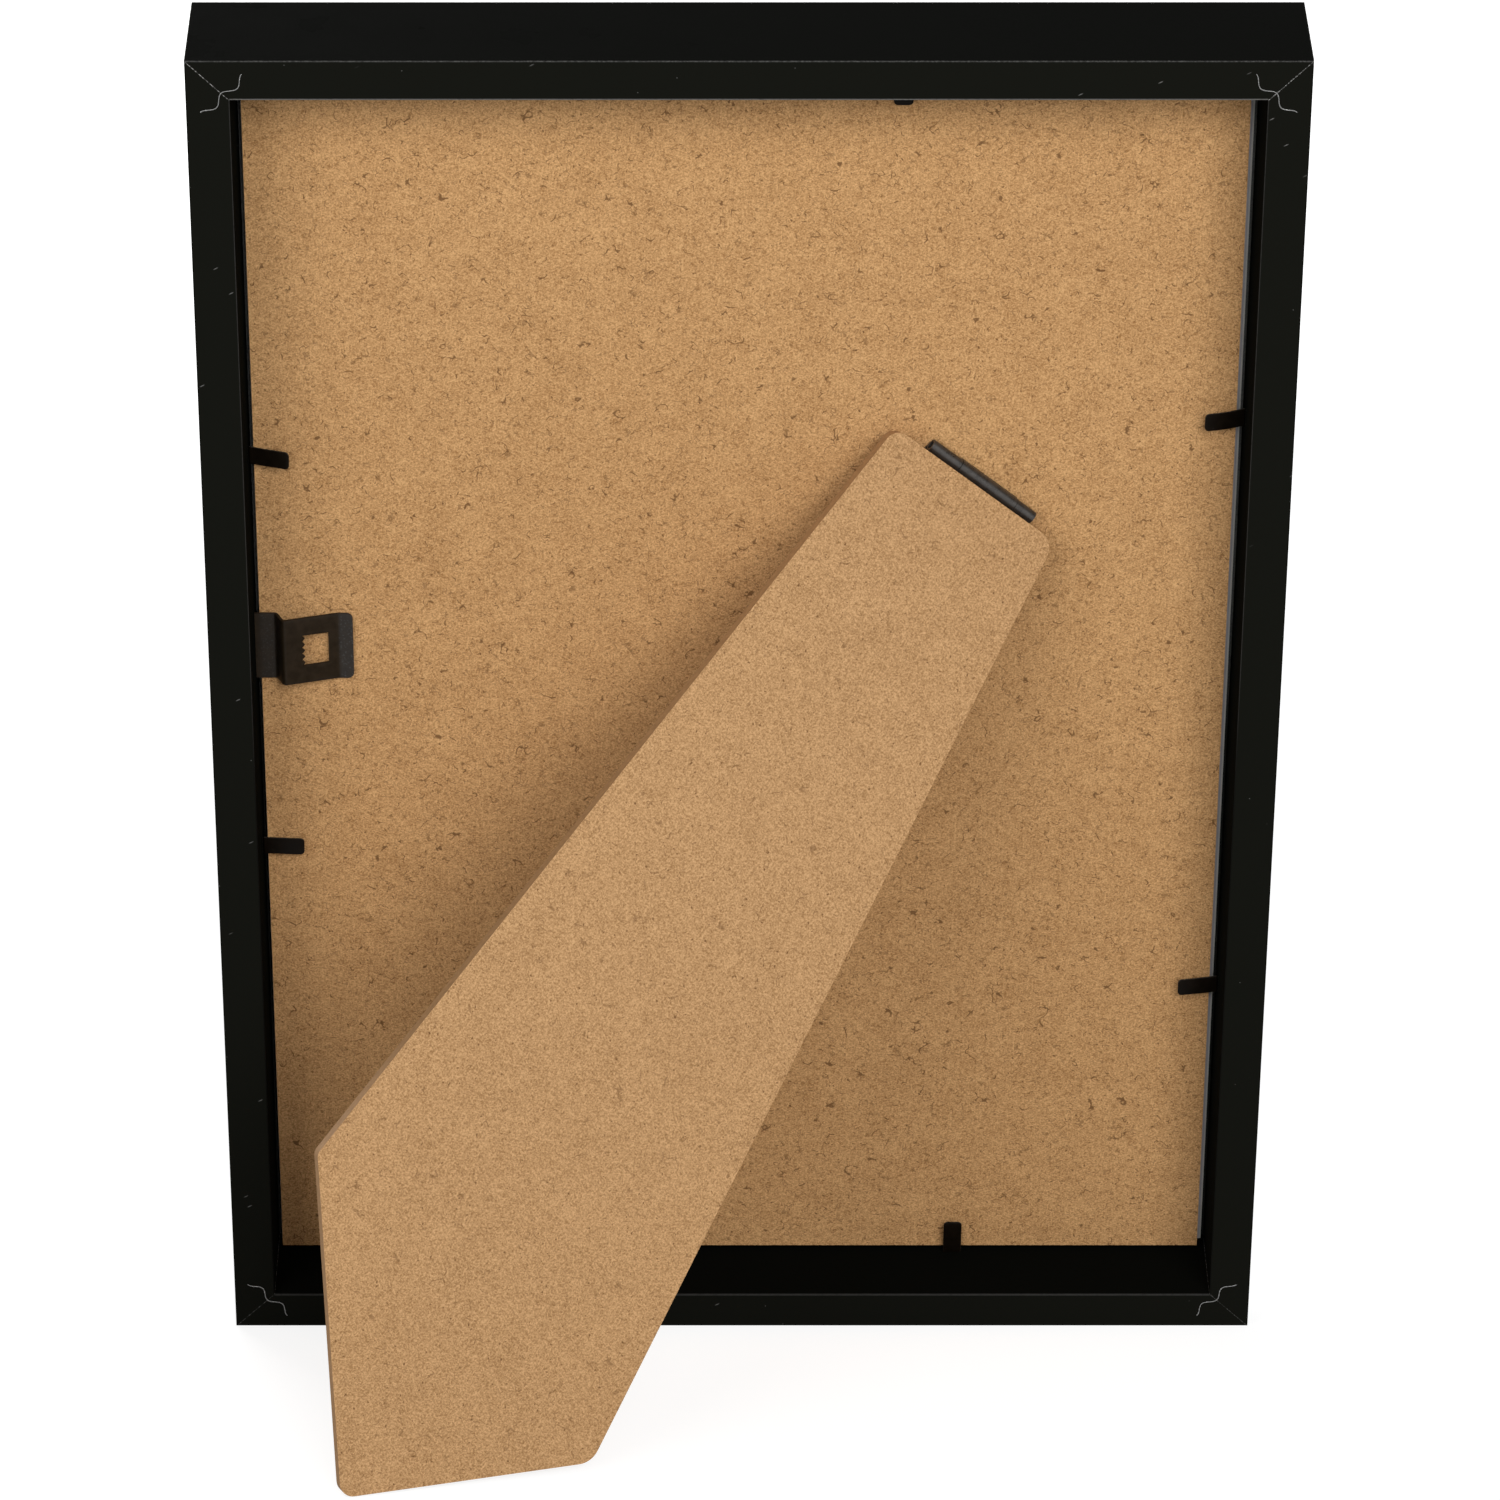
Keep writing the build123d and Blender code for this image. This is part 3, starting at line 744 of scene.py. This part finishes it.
def makeHanger():
    # rows run in from the wall and columns up the strip; inside the window's near edge every other
    # column is pushed on by a tooth, and the window's cells are left out
    start, reach = hanger["profile"][0][0], hanger["profile"][-1][0]
    near, far = hanger["windowStart"], hanger["windowEnd"]
    radius = hanger["cornerRadius"]
    toothRow = near - hanger["toothRoot"]
    firstBend, lastBend = hanger["firstBend"], hanger["lastBend"]
    distance = np.unique(
        np.concatenate(
            [
                np.linspace(start, firstBend[0], 8),
                np.linspace(*firstBend, 25),
                np.linspace(firstBend[1], toothRow, 6),
                [near],
                np.linspace(far, lastBend[0], 4),
                np.linspace(*lastBend, 13),
                np.linspace(lastBend[1], reach - radius, 4),
                reach - radius + radius * np.sin(np.linspace(0, math.pi / 2, 10)),
            ]
        ).round(5)
    )
    halfWindow = hanger["windowWidth"] / 2
    halfWidth = hanger["width"] / 2
    inside = np.linspace(-halfWindow, halfWindow, hanger["toothCount"] * 2 + 1)
    outside = np.linspace(halfWindow, halfWidth, 6)[1:]
    columns = np.concatenate([-outside[::-1], inside, outside])
    past = np.clip(distance - (reach - radius), 0, radius)
    narrowing = (halfWidth - radius + np.sqrt(radius**2 - past**2)) / halfWidth
    across = columns[None, :] * narrowing[:, None]
    inward = np.repeat(distance[:, None], len(columns), axis=1)
    nearRow = int(np.argmin(np.abs(distance - near)))
    farRow = int(np.argmin(np.abs(distance - far)))
    firstInside = len(outside)
    toothTips = np.arange(firstInside + 1, firstInside + len(inside), 2)
    inward[nearRow, toothTips] += hanger["toothDepth"]
    height = hangerHeight(inward)
    own = np.stack(
        [
            standing["width"] / 2 - standing["wall"] - inward,
            standing["boardBack"] + height,
            standing["height"] / 2 + hanger["aboveMiddle"] + across,
        ],
        axis=-1,
    )
    quads = gridFaces(len(distance), len(columns), False)
    cellRow, cellColumn = quads[:, 0] // len(columns), quads[:, 0] % len(columns)
    window = (cellRow >= nearRow) & (cellRow < farRow)
    window &= (cellColumn >= firstInside) & (cellColumn < firstInside + len(inside) - 1)
    points = toRow(own.reshape(-1, 3))
    # painted sheen and wear along the strip, by distance in from the wall
    hangerWearAndSheen = np.interp(inward.ravel(), *np.array(hanger["worn"]).T)
    steel = steelMaterial("brownedHangerAndSheen", hangerSteelAndSheen)
    faces = quads[~window].tolist()
    name, node = "toothed-hanger-strip", "sawtooth_hanger"
    piece = placePiece(name, points, faces, "browned_steel", "frame", node, hangerWearAndSheen, steel)
    solid = piece.modifiers.new("thickness", "SOLIDIFY")
    solid.thickness = hanger["thickness"] / 1000
    solid.offset = 0
    solid.use_even_offset = True
    soft = piece.modifiers.new("softEdges", "BEVEL")
    soft.width = hanger["edgeRounding"] / 1000
    soft.segments = 2
    soft.limit_method = "ANGLE"
    soft.angle_limit = math.radians(hanger["bevelFrom"])


makeHanger()
print("hanger made")


# Corner nails: corrugated strips across the mitres, their bright edges just proud of the back

nails = {
    "length": 12.3,
    "waveHeight": 0.8,
    "waveCount": 2,
    "thickness": 0.18,
    "depth": 7.0,
    "inset": 7.9,
    "proud": 0.04,
    "rounding": 0.07,
    "rows": 101,
}


def makeNails():
    # a cosine wave along the strip's length, its thickness laid off square to the wave and its depth
    # straight into the moulding; the crests point to the frame's middle and the driven edge is rounded
    along = np.linspace(-0.5, 0.5, nails["rows"])
    phase = 2 * math.pi * nails["waveCount"] * (along + 0.5)
    wave = -nails["waveHeight"] * np.cos(phase)
    steep = nails["waveHeight"] * np.sin(phase) * 2 * math.pi * nails["waveCount"] / nails["length"]
    square = np.stack([-steep, np.ones_like(steep)], axis=-1) / np.hypot(steep, 1)[:, None]
    line = np.stack([along * nails["length"], wave], axis=-1)
    thickness, rounding = nails["thickness"], nails["rounding"]
    halfDepth = np.full(len(along), nails["depth"] / 2)
    inwards = np.array([0, 1.0, 0])
    allPoints, allFaces, count = [], [], 0
    for across in (1, -1):
        for up in (1, -1):
            turn = math.atan2(-across, -up)
            lengthway = np.array([math.cos(turn), 0, -math.sin(turn)])
            sideway = np.array([math.sin(turn), 0, math.cos(turn)])
            middle = np.array(
                [
                    across * (standing["width"] / 2 - nails["inset"]),
                    nails["proud"] - nails["depth"] / 2,
                    standing["height"] / 2 + up * (standing["height"] / 2 - nails["inset"]),
                ]
            )
            centre = middle + line[:, :1] * lengthway + line[:, 1:] * sideway
            normal = square[:, :1] * lengthway + square[:, 1:] * sideway
            points, section = stripPoints(centre, inwards, normal, halfDepth, thickness, rounding)
            faces = closedStrip(len(along), len(section))
            allPoints.append(toRow(points))
            allFaces += [[corner + count for corner in face] for face in faces]
            count += len(points)
    points = np.concatenate(allPoints)
    name, node, bare = "corner-wave-strips", "corner_wave_nails", np.ones(len(points))
    placePiece(name, points, allFaces, "bright_steel", "frame", node, bare)


makeNails()
print("corner nails made")


# Glazing: the pane a hair thinner than its place between lip and mat, so that none of its faces lies in
# another piece's plane, which shows as bands through clear glass; its long edges are rounded

pane = {
    "clearance": 0.02,
    "rounding": 0.15,
}


def makePane():
    # a rounded rectangle as wide as the CAD pane, carried straight up from its lower to its upper edge
    solid = nodes["glazing"].data
    corners = np.empty(len(solid.vertices) * 3)
    solid.vertices.foreach_get("co", corners)
    corners = (corners.reshape(-1, 3) - np.array(zeroPoint)) @ ownAxes * 1000
    low, high = corners.min(axis=0), corners.max(axis=0)
    centre = np.tile((low + high) / 2, (2, 1))
    centre[:, 2] = low[2], high[2]
    normal = np.tile((0.0, 1.0, 0.0), (2, 1))
    halfWidths = np.full(2, (high[0] - low[0]) / 2)
    thickness = high[1] - low[1] - 2 * pane["clearance"]
    sideways = np.array([1.0, 0, 0])
    points, section = stripPoints(centre, sideways, normal, halfWidths, thickness, pane["rounding"])
    faces = closedStrip(2, len(section))
    piece = placePiece("clear-pane", toRow(points), faces, "clear_glass", "frame", "glazing")
    piece.data.polygons.foreach_set("use_smooth", np.full(len(faces), False))


makePane()
print("pane made")


# Floor, lamps and sky: pale and soft; what the camera sees behind the frame is white

studio = {
    "floorSize": 18.0,
    "floorColour": (0.32, 0.32, 0.32),
    "floorRoughness": 0.9,
    "floorWhite": (0.82, 1.0),
    "whiteFrom": (0.35, 1.3),
    "skyStrength": 0.3,
    # place and size in metres, power in watts
    "lamps": {
        "keyLamp": ((-0.46, 1.42, 0.72), (1.0, 0.8), 17.6),
        "fillLamp": ((0.87, 1.25, 0.66), (0.9, 0.7), 8.2),
        "frontLamp": ((0.9, -2.2, 0.8), (1.4, 1.2), 50.0),
    },
    "aim": (0.0, 0.0, 0.16),
}


def seenRays(tree):
    # one for rays from the camera and for those that meet a mirror or clear glass first
    path = tree.nodes.new("ShaderNodeLightPath")
    either = calc(tree, "MAXIMUM", path.outputs["Is Camera Ray"], path.outputs["Is Glossy Ray"])
    return calc(tree, "MAXIMUM", either, path.outputs["Is Transmission Ray"])


def makeFloor():
    half = studio["floorSize"] / 2
    corners = [(-half, -half, 0), (half, -half, 0), (half, half, 0), (-half, half, 0)]
    mesh = bpy.data.meshes.new("floor")
    mesh.from_pydata(corners, [], [(0, 1, 2, 3)])
    floor = bpy.data.objects.new("floor", mesh)
    bpy.context.scene.collection.objects.link(floor)
    material, tree, shader = startMaterial("paleFloor")
    shader.inputs["Base Color"].default_value = (*studio["floorColour"], 1)
    shader.inputs["Roughness"].default_value = studio["floorRoughness"]
    shader.inputs["Specular IOR Level"].default_value = 0.0
    shader.inputs["Emission Color"].default_value = (1, 1, 1, 1)
    # the glow that the camera sees rises to full white away from the frame
    place = tree.nodes.new("ShaderNodeTexCoord").outputs["Object"]
    reach = tree.nodes.new("ShaderNodeVectorMath")
    reach.operation = "LENGTH"
    tree.links.new(place, reach.inputs[0])
    glow = ramp(tree, reach.outputs["Value"], *studio["whiteFrom"], *studio["floorWhite"])
    tree.links.new(calc(tree, "MULTIPLY", glow, seenRays(tree)), shader.inputs["Emission Strength"])
    mesh.materials.append(material)


def makeLamps():
    for name, (place, size, power) in studio["lamps"].items():
        lamp = bpy.data.lights.new(name, "AREA")
        lamp.shape = "RECTANGLE"
        lamp.size, lamp.size_y = size
        lamp.energy = power
        holder = bpy.data.objects.new(name, lamp)
        bpy.context.scene.collection.objects.link(holder)
        holder.location = place
        beam = Vector(studio["aim"]) - Vector(place)
        holder.rotation_euler = beam.to_track_quat("-Z", "Y").to_euler()


def makeSky():
    world = bpy.data.worlds.new("sky")
    bpy.context.scene.world = world
    world.use_nodes = True
    tree = world.node_tree
    background = next(node for node in tree.nodes if node.type == "BACKGROUND")
    background.inputs["Color"].default_value = (1, 1, 1, 1)
    strength = calc(tree, "MULTIPLY_ADD", seenRays(tree), 1 - studio["skyStrength"], studio["skyStrength"])
    tree.links.new(strength, background.inputs["Strength"])


# The photograph's place and view, found from the frame's corners: the place in the frame's own axes, and
# the angle between the view and the back's own direction out

photoView = {
    "place": (13.7, 1291.7, 964.15),
    "fromBackDegrees": 32.0755,
    "lens": 169.516,
    "sensor": 36,
    "shiftX": 0.04555,
    "clip": (0.05, 50),
}


def makeCamera():
    down = math.radians(photoView["fromBackDegrees"]) - lean
    lens = bpy.data.cameras.new("photoCamera")
    lens.sensor_width = photoView["sensor"]
    lens.lens = photoView["lens"]
    lens.shift_x = photoView["shiftX"]
    lens.clip_start, lens.clip_end = photoView["clip"]
    camera = bpy.data.objects.new("photoCamera", lens)
    bpy.context.scene.collection.objects.link(camera)
    place = Vector(toRow(np.array(photoView["place"])))
    right, back = Vector((-1, 0, 0)), Vector((0, math.cos(down), math.sin(down)))
    turn = Matrix((right, back.cross(right), back)).transposed()
    camera.matrix_world = Matrix.Translation(place) @ turn.to_4x4()
    bpy.context.scene.camera = camera


makeFloor()
makeLamps()
makeSky()
makeCamera()
bpy.context.scene.view_settings.view_transform = "Standard"
print("studio ready")
